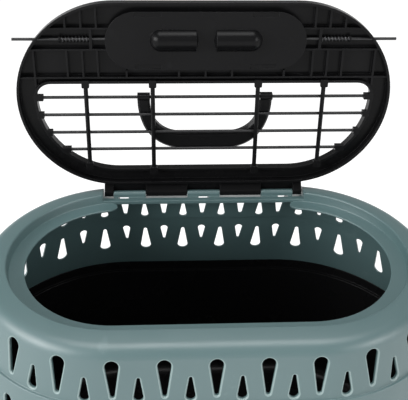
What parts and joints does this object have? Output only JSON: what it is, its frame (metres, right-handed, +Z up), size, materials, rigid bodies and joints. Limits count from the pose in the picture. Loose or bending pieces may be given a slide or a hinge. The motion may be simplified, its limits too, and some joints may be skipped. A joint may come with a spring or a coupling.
{
  "type": "top-opening small animal carrier",
  "caption": "Round-ended animal carrier: black tub, vented green upper shell, hinged top lid with a wire window, folding handle and sprung pinch latch.",
  "frame": {"origin": "on the ground, under the centre of the base tub", "axes": "+Z up, +X along the length and parallel to the lid hinge, +Y towards the hinge"},
  "size_m": [0.5038, 0.328, 0.5105],
  "materials": {
    "shell_plastic": "satin moulded sage green",
    "black_plastic": "satin moulded black",
    "black_steel": "black coated wire",
    "bright_steel": "plain steel"
  },
  "bodies": {
    "carrier": {"base_tub": "black_plastic", "upper_shell": "shell_plastic", "hinge_pin": "bright_steel"},
    "lid": {"lid_frame": "black_plastic", "latch_cover": "black_plastic", "window_wire_1": "black_steel", "window_wire_2": "black_steel", "window_wire_3": "black_steel", "window_wire_4": "black_steel", "window_upright_1": "black_plastic", "window_upright_2": "black_plastic", "window_upright_3": "black_plastic", "window_upright_4": "black_plastic", "left_latch_spring": "bright_steel", "right_latch_spring": "bright_steel"},
    "handle": {"handle": "black_plastic"},
    "left_latch": {"left_latch_rod": "black_steel", "left_rod_collar": "black_plastic", "left_latch_slide": "black_plastic"},
    "right_latch": {"right_latch_rod": "black_steel", "right_rod_collar": "black_plastic", "right_latch_slide": "black_plastic"}
  },
  "joints": [
    {"name": "lid_hinge", "type": "hinge", "parent": "carrier", "child": "lid", "pos_m": [0, 0.1156, 0.2943], "axis": [1, 0, 0], "range_deg": [0, 91.9]},
    {"name": "handle_fold", "type": "hinge", "parent": "lid", "child": "handle", "pos_m": [0, 0.12002, 0.40942], "axis": [1, 0, 0], "range_deg": [0, 95]},
    {"name": "left_latch_slide", "type": "slide", "parent": "lid", "child": "left_latch", "axis": [1, 0, 0], "range_m": [0, 0.0195], "stiffness_N_per_m": 180, "springref_m": -0.012, "deforming": ["left_latch_spring"]},
    {"name": "right_latch_slide", "type": "slide", "parent": "lid", "child": "right_latch", "axis": [-1, 0, 0], "range_m": [0, 0.0195], "stiffness_N_per_m": 180, "springref_m": -0.012, "deforming": ["right_latch_spring"]}
  ]
}
